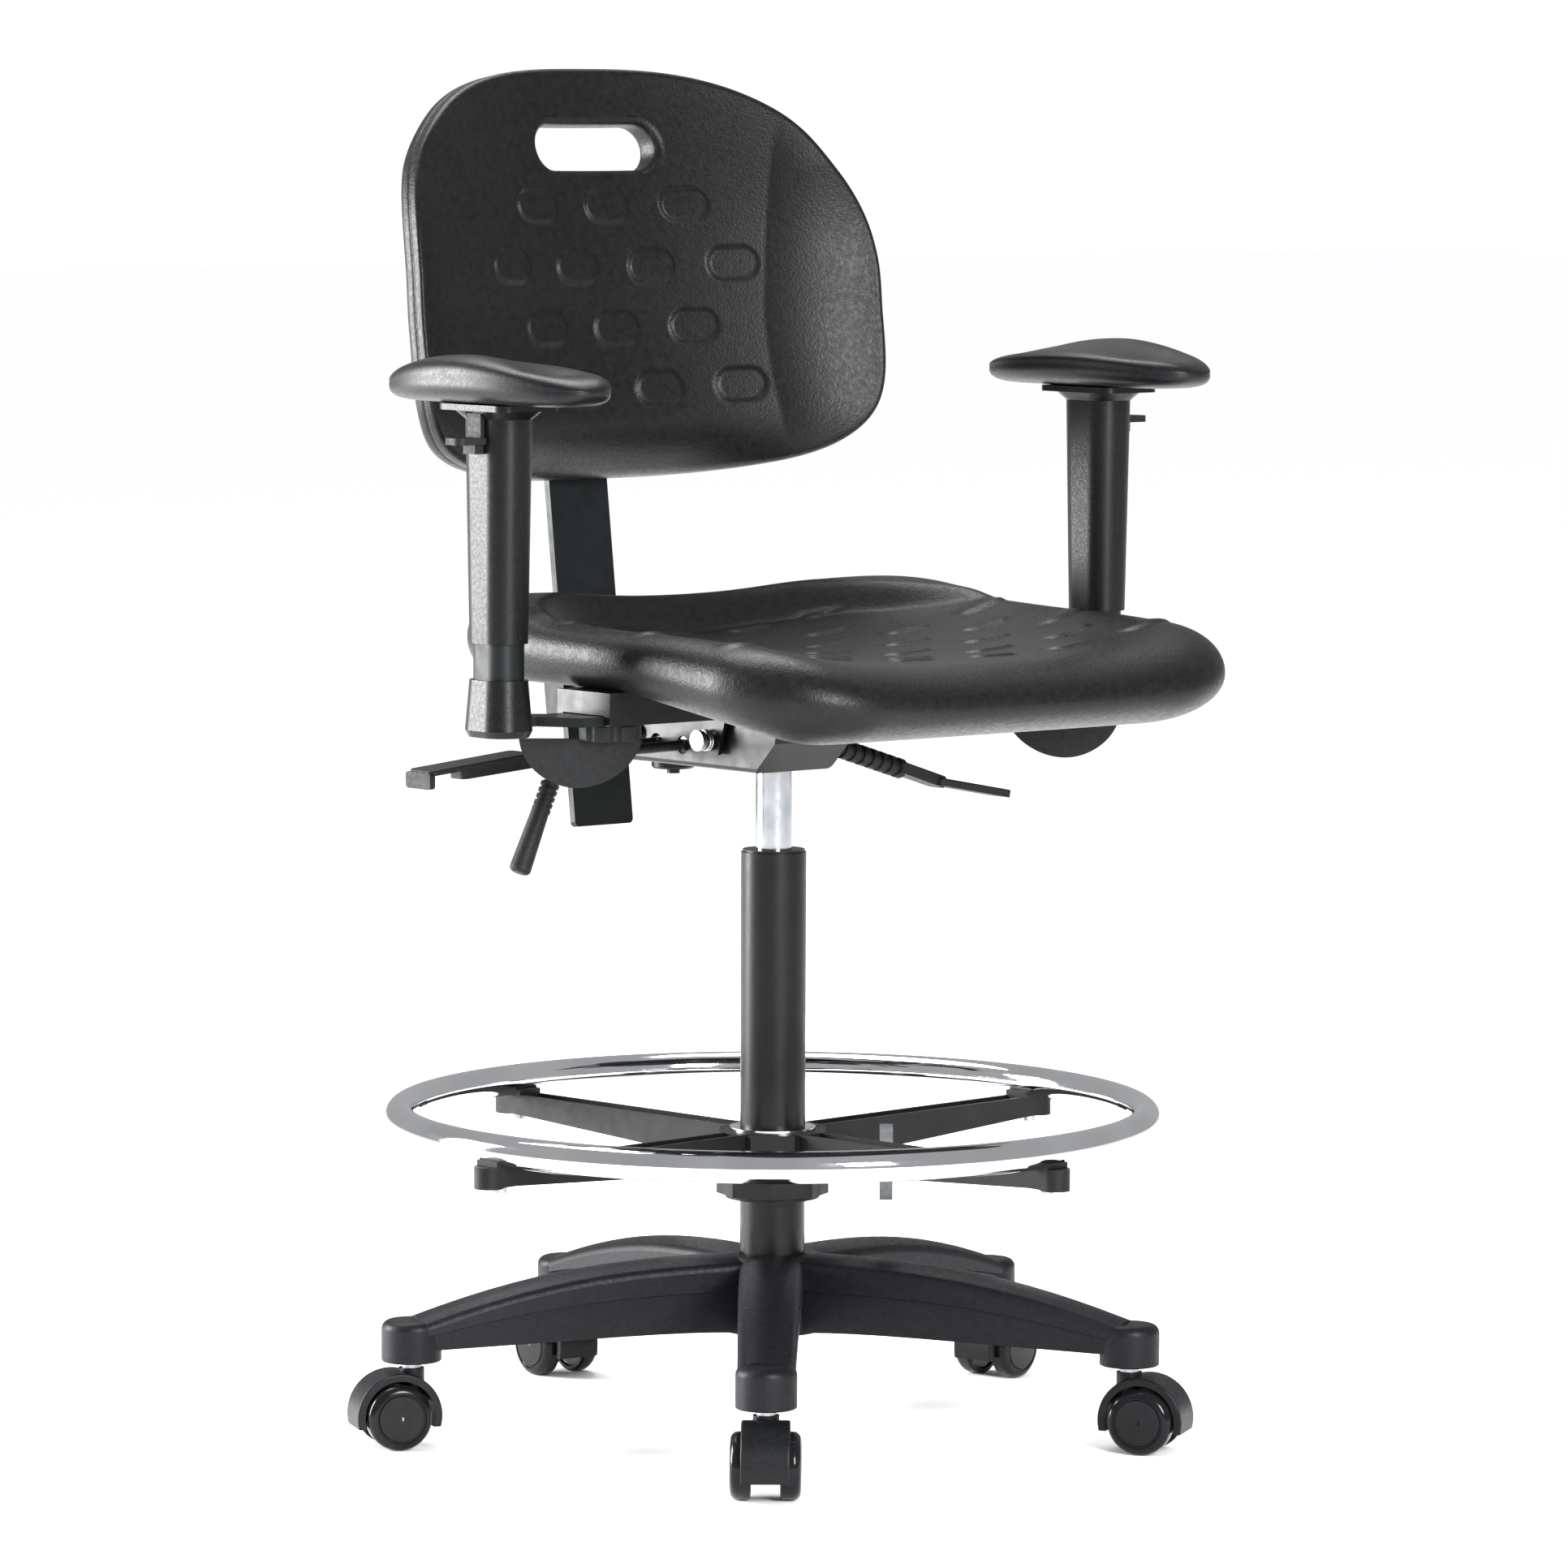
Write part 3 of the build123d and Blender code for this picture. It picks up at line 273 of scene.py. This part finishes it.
# ------------------------------------------------------------------ seat
SEAT_MIDDLE = 600.0      # height of the dish's middle
SEAT_CORNER = 92.0
SEAT_UNDER_REAR, SEAT_UNDER_FRONT = 583.0, 551.0
SEAT_AROUND = 520        # points round each ring
SIDE_REACH = 225.0       # distance from the middle at which a side has its full rise
SCALE_PITCH = (79.0, 47.2)
SCALE_FIRST_ROW, SCALE_ROWS = 84.0, 7
SCALE_HALF = (26.0, 14.0)
SCALE_HEIGHT = 2.3
WALL_FOOT, WALL_WRAP, WALL_WRAP_REACH = 90.0, 105.0, 215.0
WALL_WIDTH, WALL_RISE = 34.0, 33.0


def rear_wall(x, y):
    """Share, 0 to 1, of the wall round the dish's rear: an S-curve of the distance behind its foot.
    The foot is a horseshoe, a cubic in the distance from the middle, and the wall fades forward."""
    foot = WALL_FOOT - WALL_WRAP * np.clip(np.abs(x) / WALL_WRAP_REACH, 0, 1) ** 3
    return smooth(y - foot, 0, WALL_WIDTH) ** 0.8 * smooth(y, -75, 25)


def seat_top(x, y):
    """Height of the seat's top: the dish's floor, which rises a little towards the rear, sides
    that rise with the 1.5th power of the distance from the middle and steepen near the edge,
    the rear wall, and a low crown between the thighs."""
    floor = SEAT_MIDDLE + 8 * smooth(y, 0, 105)
    side = (23 + 5 * smooth(y, -110, 60)) * (np.abs(x) / SIDE_REACH) ** 1.5
    side = side + 7 * smooth(np.abs(x), 150, 222)
    rear = (WALL_RISE - 0.85 * side) * rear_wall(x, y)
    crown = 5 * smooth(-y, 120, 230) * np.exp(-(x / 70) ** 2)
    return floor + side + rear + crown


def seat_scales(x, y):
    """Height of the low scales on the seat, on a staggered lattice. Each is a stadium-shaped
    pillow times a ramp, so that it stands up at its front edge and sinks back into the surface
    behind. None is on the rear wall, and the two rear rows are shorter."""
    pitch_x, pitch_y = SCALE_PITCH
    row = np.clip(np.round((SCALE_FIRST_ROW - y) / pitch_y), 0, SCALE_ROWS - 1)
    shift = ((row + 1) % 2) * pitch_x / 2
    column_x = np.round((x - shift) / pitch_x) * pitch_x + shift
    row_y = SCALE_FIRST_ROW - row * pitch_y
    inside = np.abs(column_x) < np.where(row < 2, 1.6, 2.6) * pitch_x
    clear_of_wall = 1 - smooth(rear_wall(x, y), 0.0, 0.25)
    ramp = smooth(row_y + 12 - y, 0, 24)
    shape = ramp * pillow(x - column_x, y - row_y, *SCALE_HALF, 0.42)
    return SCALE_HEIGHT * inside * clear_of_wall * shape


def seat_under(y):
    """Height of the underside, lower towards the front."""
    return SEAT_UNDER_REAR + (SEAT_UNDER_FRONT - SEAT_UNDER_REAR) * smooth(-y, 60, 300)


def seat_surface(low, high):
    """Rings from the top's middle out over a bulging edge and back under to the middle. The plan
    is a rectangle with round corners, scaled towards its middle. The bulge is two quarter ellipses
    that meet at half height: the upper one goes out by the roll and down by the drop, the lower one
    back in by the tuck and down by the lift. Both are widest at the front."""
    half_x, half_y = high.x / MM, (high.y - low.y) / MM / 2
    centre = np.array([0, (high.y + low.y) / MM / 2])
    hub, normal = rounded_rectangle(half_x, half_y, SEAT_CORNER, SEAT_AROUND)
    rim = centre + hub + SEAT_CORNER * normal
    front = smooth(-rim[:, 1], 110, 290)
    roll, tuck = 34 + 28 * front, 30 + 42 * front
    rim_top, rim_under = seat_top(*rim.T), seat_under(rim[:, 1])
    drop = 0.52 * (rim_top - rim_under)
    lift = rim_top - rim_under - drop
    inner_top, inner_low = rim - roll[:, None] * normal, rim - tuck[:, None] * normal
    rings = []
    for share in np.linspace(0.012, 1, 136):
        plan = centre + share * (inner_top - centre)
        rings.append(np.column_stack([plan, seat_top(*plan.T) + seat_scales(*plan.T)]))
    for angle in np.linspace(0, math.pi / 2, 26)[1:]:
        plan = rim - (roll * (1 - math.sin(angle)))[:, None] * normal
        top = seat_top(*plan.T) + seat_scales(*plan.T)
        level = math.cos(angle) * top + (1 - math.cos(angle)) * rim_top
        rings.append(np.column_stack([plan, level - drop * (1 - math.cos(angle))]))
    for angle in np.linspace(0, math.pi / 2, 18)[1:]:
        plan = rim - (tuck * (1 - math.cos(angle)))[:, None] * normal
        rings.append(np.column_stack([plan, rim_under + lift * (1 - math.sin(angle))]))
    for share in np.linspace(1, 0.05, 24)[1:]:
        plan = centre + share * (inner_low - centre)
        outer_share = smooth(share, 0.55, 1)
        level = outer_share * rim_under + (1 - outer_share) * seat_under(plan[:, 1])
        rings.append(np.column_stack([plan, level]))
    first = [*centre, seat_top(*centre) + seat_scales(*centre)]
    last = [*centre, seat_under(centre[1])]
    return make_surface("seat_moulding", np.array(rings), first, last)


# ------------------------------------------------------------------ backrest
REST_LEAN = 8.4          # degrees back from upright
REST_HALF = 229.0
REST_TOP, REST_SHOULDER, REST_LOW = 157.0, -42.0, -161.0
REST_THICK = 27.0
REST_ROUND_FRONT, REST_ROUND_REAR, SLOT_LIP = 5.0, 9.0, 7.0
REST_AROUND = 480        # points round each ring
REST_BEHIND_BAR = 64.0   # from the bar's rearmost point forward to the backrest's plane
SLOT_HEIGHT, SLOT_HALF, SLOT_END = 94.0, 59.0, 18.0
SCOOP_RADIUS = 450.0     # of the shallow scoop between the creases
WING_RADIUS = 161.3      # of the deeper scoop outside them
OVAL_PITCH = (73.0, 47.7)
OVAL_FIRST_ROW = 47.0
OVAL_HALF = (22.8, 14.3)
OVAL_HEIGHT = 2.2


def rest_outline(count):
    """Outline from the top's middle, clockwise: a superellipse of power 2.7 above the shoulder and
    a squarer one, of power 4.5, below it."""
    turn = np.linspace(0, 2 * math.pi, 4000, endpoint=False)
    across, up = np.sin(turn), np.cos(turn)
    power = np.where(up > 0, 2.7, 4.5)
    reach = (np.abs(across) ** power + np.abs(up) ** power) ** (-1 / power)
    tall = np.where(up > 0, REST_TOP - REST_SHOULDER, REST_SHOULDER - REST_LOW)
    return equal_steps(REST_HALF * reach * across, REST_SHOULDER + tall * reach * up, count)


def slot_outline(count):
    """Stadium-shaped hand slot from its top's middle, clockwise: a circle whose two halves are
    moved apart."""
    turn = np.linspace(0, 2 * math.pi, 2000, endpoint=False)
    flat = SLOT_HALF - SLOT_END
    x = SLOT_END * np.sin(turn) + flat * np.clip(np.sin(turn) * 40, -1, 1)
    return equal_steps(x, SLOT_HEIGHT + SLOT_END * np.cos(turn), count)


def rest_front(u, v):
    """How far the front face stands forward of the backrest's plane: a parabolic scoop between two
    creases, which are parabolas up the face; a deeper scoop outside them; less an S-curve where
    the top falls back, and a power curve where the bottom lip rolls away."""
    across = np.abs(u)
    crease = 135 + 0.0012 * (v + 45) ** 2
    middle = across ** 2 / (2 * SCOOP_RADIUS)
    beyond = across - crease
    wing = crease ** 2 / (2 * SCOOP_RADIUS) + 0.10 * beyond + beyond ** 2 / (2 * WING_RADIUS)
    fade = 1 - smooth(v, 70, 130)
    outside = smooth(beyond, -4, 4)
    fall = 14 * smooth(v, 10, 165) + 3 * smooth(-v, 0, 50)
    lip = 34 * np.clip((-v - 112) / 49, 0, 1) ** 2.2 * (1 - 0.75 * smooth(across, 60, 190))
    return middle + outside * (wing - middle) * fade - fall - lip


def rest_ovals(u, v):
    """Height of the raised ovals, stadium-shaped pillows in staggered rows of three and four."""
    pitch_u, pitch_v = OVAL_PITCH
    row = np.clip(np.round((OVAL_FIRST_ROW - v) / pitch_v), 0, 3)
    shift = (row % 2) * pitch_u / 2
    column = np.round((u - shift) / pitch_u) * pitch_u + shift
    inside = np.abs(column) < 1.6 * pitch_u
    up = v - (OVAL_FIRST_ROW - row * pitch_v)
    return OVAL_HEIGHT * inside * pillow(u - column, up, *OVAL_HALF, 0.22)


def rest_rear(u, v):
    """How far the rear face stands behind the front's smooth shape: the slab, and a housing for the
    bar that grows out of it below the slot."""
    low, high = smooth(v, -175, -120), 1 - smooth(v, 10, 62)
    bar = smooth(1 - (np.abs(u) / 74) ** 2.4, 0, 0.75)
    return REST_THICK + 14 * low * high * bar


def place_rest(u, v, forward, origin):
    """Local coordinates of the backrest to the chair's frame."""
    lean = math.radians(REST_LEAN)
    y = origin[1] + v * math.sin(lean) - forward * math.cos(lean)
    z = origin[2] + v * math.cos(lean) + forward * math.sin(lean)
    return np.stack([u, y, z], -1)


def rest_surface(origin):
    """Rings round the slot, out over the front face, round the edge and back over the rear. The
    front and rear are straight lines from slot to edge in plan, with quarter circles at both ends,
    and the edge between them is a plain band with a shallow mould line at its middle."""
    edge, hole = rest_outline(REST_AROUND), slot_outline(REST_AROUND)
    edge_out, hole_out = outward(edge), outward(hole)
    rings = []

    def ring(plan, forward):
        rings.append(place_rest(plan[:, 0], plan[:, 1], forward, origin))

    slot_rim, outer = hole + SLOT_LIP * hole_out, edge - REST_ROUND_FRONT * edge_out
    for angle in np.linspace(0, math.pi / 2, 7)[:-1]:
        plan = hole + SLOT_LIP * (1 - math.cos(angle)) * hole_out
        ring(plan, rest_front(*plan.T) - SLOT_LIP * (1 - math.sin(angle)))
    for share in np.linspace(0, 1, 128):
        plan = slot_rim + share * (outer - slot_rim)
        ring(plan, rest_front(*plan.T) + rest_ovals(*plan.T))
    for angle in np.linspace(0, math.pi / 2, 9)[1:]:
        plan = outer + REST_ROUND_FRONT * math.sin(angle) * edge_out
        ring(plan, rest_front(*plan.T) - REST_ROUND_FRONT * (1 - math.cos(angle)))
    wall_front = rest_front(*edge.T) - REST_ROUND_FRONT
    wall_rear = rest_front(*edge.T) - REST_THICK + REST_ROUND_REAR
    for share in (0.3, 0.44, 0.5, 0.56, 0.8):
        groove = 0.6 if share == 0.5 else 0.0
        ring(edge - groove * edge_out, wall_front + share * (wall_rear - wall_front))
    for angle in np.linspace(0, math.pi / 2, 9):
        plan = edge - REST_ROUND_REAR * (1 - math.cos(angle)) * edge_out
        back = REST_ROUND_REAR * math.sin(angle) + rest_rear(*plan.T) - REST_THICK
        ring(plan, wall_rear - back)
    rear_outer = edge - REST_ROUND_REAR * edge_out
    for share in np.linspace(1, 0, 46)[1:]:
        plan = slot_rim + share * (rear_outer - slot_rim)
        ring(plan, rest_front(*plan.T) - rest_rear(*plan.T))
    for angle in np.linspace(0, math.pi / 2, 7)[1:]:
        plan = hole + SLOT_LIP * (1 - math.sin(angle)) * hole_out
        ring(plan, rest_front(*plan.T) - rest_rear(*plan.T) + SLOT_LIP * (1 - math.cos(angle)))
    return make_surface("backrest_moulding", np.array(rings))


# ------------------------------------------------------------------ arm pads
PAD_SECTION = 88         # points round each section
PAD_SECTIONS = 130
PAD_PLAN_POWER = 2.3
PAD_RIM = 18.0           # height of both rims at the tips
PAD_OUTER_ARCH, PAD_INNER_ARCH = 25.0, 15.0


def pad_surface(name, low, high, outer_side):
    """Armrest pad as sections along its length, each made of an upper and a lower half superellipse.
    The plan is a superellipse too. Both rims of the top are parabolic arches along the pad, the
    outer one higher, with a shallow trough between them; the underside is flat, and a mould line
    runs where the two halves of each section meet."""
    half_width, half_length = (high.x - low.x) / MM / 2, (high.y - low.y) / MM / 2
    centre_x, centre_y = (high.x + low.x) / MM / 2, (high.y + low.y) / MM / 2
    base = low.z / MM
    turn = np.linspace(0, 2 * math.pi, PAD_SECTION, endpoint=False)
    station = -np.cos(np.linspace(0.05, math.pi - 0.05, PAD_SECTIONS))    # -1 front, +1 rear
    along, angle = np.meshgrid(station, turn, indexing="ij")
    width = half_width * (1 - np.abs(along) ** PAD_PLAN_POWER) ** (1 / PAD_PLAN_POWER)
    over = np.sin(angle) >= 0
    across = np.sign(np.cos(angle)) * np.abs(np.cos(angle)) ** np.where(over, 0.74, 0.62)
    up = np.sign(np.sin(angle)) * np.abs(np.sin(angle)) ** np.where(over, 0.86, 0.6)
    outer = PAD_RIM + PAD_OUTER_ARCH * (1 - ((along - 0.02) / 1.02) ** 2)
    inner = PAD_RIM + PAD_INNER_ARCH * (1 - ((along + 0.12) / 1.12) ** 2)
    rim = inner + (outer - inner) * smooth((across * outer_side + 1) / 2, 0, 1)
    trough = (5 + 6 * smooth(-along, 0, 0.6)) * (1 - np.abs(across) ** 2.2)
    trough *= smooth(1 - np.abs(along), 0.04, 0.5)
    middle = base + 12 + 8 * (1 - along ** 2)
    top = (base + rim - middle) * (1 - np.abs(along) ** 5) ** 0.45
    under = (middle - base) * (1 - np.abs(along) ** 10) ** 0.5
    z = middle + np.where(over, (top - trough) * up, under * up)
    seam = 1 - 0.014 * np.exp(-(np.sin(angle) / 0.04) ** 2)
    x, y = centre_x + width * across * seam, centre_y + along * half_length
    first = [centre_x, centre_y - half_length, middle[0, 0]]
    last = [centre_x, centre_y + half_length, middle[-1, 0]]
    return make_surface(name, np.stack([x, y, z], -1), first, last)


# ------------------------------------------------------------------ studio
FLOOR_REACH = 30.0       # metres each way
ROOM_WHITE = 1.08        # strength of the white room
ROOM_IN_GLOSS = 0.45     # and as glossy surfaces see it


def add_studio():
    """Pale floor, white surroundings, and three softboxes: a key before the chair, a strip behind
    its right that lights the backrest's edge, and one overhead."""
    floor_mesh = bpy.data.meshes.new("studio_floor")
    corners = [(-FLOOR_REACH, -FLOOR_REACH, 0), (FLOOR_REACH, -FLOOR_REACH, 0),
               (FLOOR_REACH, FLOOR_REACH, 0), (-FLOOR_REACH, FLOOR_REACH, 0)]
    floor_mesh.from_pydata(corners, [], [(0, 1, 2, 3)])
    floor = bpy.data.objects.new("studio_floor", floor_mesh)
    bpy.context.scene.collection.objects.link(floor)
    paint, tree = new_material("matt_white_floor")
    close_material(tree, add(tree, "ShaderNodeBsdfPrincipled", {
        "Base Color": linear("#fafafa"), "Roughness": 0.9, "Specular IOR Level": 0.1}))
    floor_mesh.materials.append(paint)

    world = bpy.data.worlds.new("studio_white")
    bpy.context.scene.world = world
    world.use_nodes = True
    tree = world.node_tree
    tree.nodes.clear()
    # what the camera and the matt surfaces see is white; glossy ones see a dim room, so that
    # black skins stay black between the softboxes' reflections
    ray = add(tree, "ShaderNodeLightPath")
    open_ray = add(tree, "ShaderNodeMath", {0: ray.outputs["Is Camera Ray"],
                                            1: ray.outputs["Is Diffuse Ray"]}, operation="MAXIMUM")
    strength = add(tree, "ShaderNodeMapRange", {"Value": open_ray.outputs[0], "To Min": ROOM_IN_GLOSS,
                                                "To Max": ROOM_WHITE})
    white = add(tree, "ShaderNodeBackground", {"Color": linear("#fdfdff"),
                                               "Strength": strength.outputs["Result"]})
    add(tree, "ShaderNodeOutputWorld", {"Surface": white.outputs[0]})
    bpy.context.scene.view_settings.view_transform = "Standard"

    add_softbox("key_softbox", (-0.75, -3.5, 1.6), (0.9, 1.3), 210)
    add_softbox("left_strip", (-2.5, 3.0, 1.2), (1.3, 2.2), 420)
    add_softbox("top_softbox", (0.3, 1.2, 3.2), (2.4, 1.6), 110)


# ------------------------------------------------------------------ finishes
def paint_frame(materials):
    """Give every CAD node that shows its finish."""
    for material, names in materials:
        for name in names:
            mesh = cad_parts[name].data
            mesh.materials.clear()
            mesh.materials.append(material)


def casters(part):
    """The five casters' nodes of one kind."""
    return ["caster_%d_%s" % (number, part) for number in range(1, 6)]


def both(part):
    """The nodes of both arms."""
    return ["left_" + part, "right_" + part]


def main():
    """Build the looks."""
    add_camera()
    add_studio()
    # integral-skin polyurethane, moulded against an etched tool: pebbled, soft speckled sheen
    skin = moulded("integral_skin_polyurethane", "#0b0b0c", "#121213", 0.40, GRAIN_MM, 0.16)
    # the pads' skin is smoother, with a satin gloss
    pad_skin = moulded("satin_polyurethane_skin", "#0e0e10", "#141416", 0.38, 1.4, 0.05)
    # base, glass-filled nylon from a sand-blasted mould: even, soft highlights
    base_nylon = moulded("glass_filled_nylon", "#0b0c0f", "#111216", 0.46, 1.6, 0.08)
    # arm sleeves, boots, bush and knobs, acetal from a smooth mould: satin
    fitting = moulded("satin_black_acetal", "#0a0a0b", "#0f0f10", 0.36, 1.2, 0.03)
    # levers and clamp handles, nylon from a blasted mould: matt and a little greyer
    handle = moulded("matt_grey_nylon", "#131415", "#1a1b1c", 0.55, 1.5, 0.06)
    # wing knob, coloured polypropylene: mid grey and matt
    knob = moulded("grey_polypropylene", "#5b5e60", "#686b6d", 0.5, 1.5, 0.03)
    # wheels, nylon from a polished mould: sharp reflections
    tyre = moulded("polished_nylon", "#0e0e10", "#131315", 0.16, 3.0, 0.01)
    # caster hoods, nylon from a finely etched mould: satin
    hood = moulded("satin_nylon_hood", "#0c0d0f", "#121315", 0.40, 1.3, 0.05)
    # column, mechanism and seat plate, powder coated: semi-gloss, with a fine orange peel
    powder = coated("black_powder_coat", "#080706", "#0d0b0a", 0.33, 2.5, 0.02)
    # baked enamel on the flat bars, with a green-black cast
    enamel = coated("black_enamel", "#070b0c", "#0b1112", 0.45, 3.0, 0.02)
    # spider and bracket, painted as cast: dull, with a sandy skin
    casting = coated("black_painted_casting", "#0a0a0a", "#101010", 0.5, 1.8, 0.05)
    # foot ring, chromium plated over polished tube: a mirror
    chrome = bare_metal("chromium_plate", "#d6d8da", "#e4e6e8", 0.05, 20, 0.002)
    # cylinder and collar, ground and polished: long soft reflections
    ground = bare_metal("ground_steel", "#a9adb1", "#c3c6c9", 0.16, 6, 0.003)
    # fasteners, axles and springs, zinc plated: pale and a little cloudy
    zinc = bare_metal("zinc_plated_steel", "#9a9c9e", "#b4b6b7", 0.3, 5, 0.01)

    paint_frame([
        (base_nylon, ["base_star"]),
        (hood, casters("hood")),
        (tyre, casters("wheel_left") + casters("wheel_right")),
        (zinc, casters("axle") + ["caster_stems", "column_bearing", "piston_rod", "release_pin",
                                  "foot_ring_screws", "seat_screws", "back_screws", "pivot_pins",
                                  "tilt_springs"]),
        (powder, ["column_tube", "mechanism_housing", "seat_plate"]),
        (fitting, ["column_bush", "tension_knob", "back_height_knob"] + both("arm_sleeve")
         + both("arm_boot")),
        (ground, ["gas_cylinder", "spider_bush"]),
        (chrome, ["foot_ring"]),
        (casting, ["foot_ring_spider", "back_bracket"]),
        (knob, ["clamp_knob"]),
        (handle, ["height_lever", "seat_angle_lever", "back_angle_lever"] + both("width_clamp")
         + both("arm_button")),
        (enamel, ["back_bar"] + both("arm_bar")),
    ])

    seat = seat_surface(*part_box("seat"))
    rest_low, rest_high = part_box("backrest")
    lean = math.radians(REST_LEAN)
    plane_z = rest_high.z / MM - REST_TOP * math.cos(lean)
    plane_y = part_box("back_bar")[1].y / MM - REST_BEHIND_BAR
    rest = rest_surface((0.0, plane_y, plane_z))
    pads = [pad_surface(side + "_pad_moulding", *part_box(side + "_arm_pad"), sign)
            for side, sign in (("left", 1), ("right", -1))]
    for piece, body, node, slot, finish in (
            (seat, "seat", "seat", "moulded_pu", skin),
            (rest, "back", "backrest", "moulded_pu", skin),
            (pads[0], "left_armrest", "left_arm_pad", "pad_pu", pad_skin),
            (pads[1], "right_armrest", "right_arm_pad", "pad_pu", pad_skin)):
        piece.data.materials.append(finish)
        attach(piece, body)
        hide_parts(node)


main()
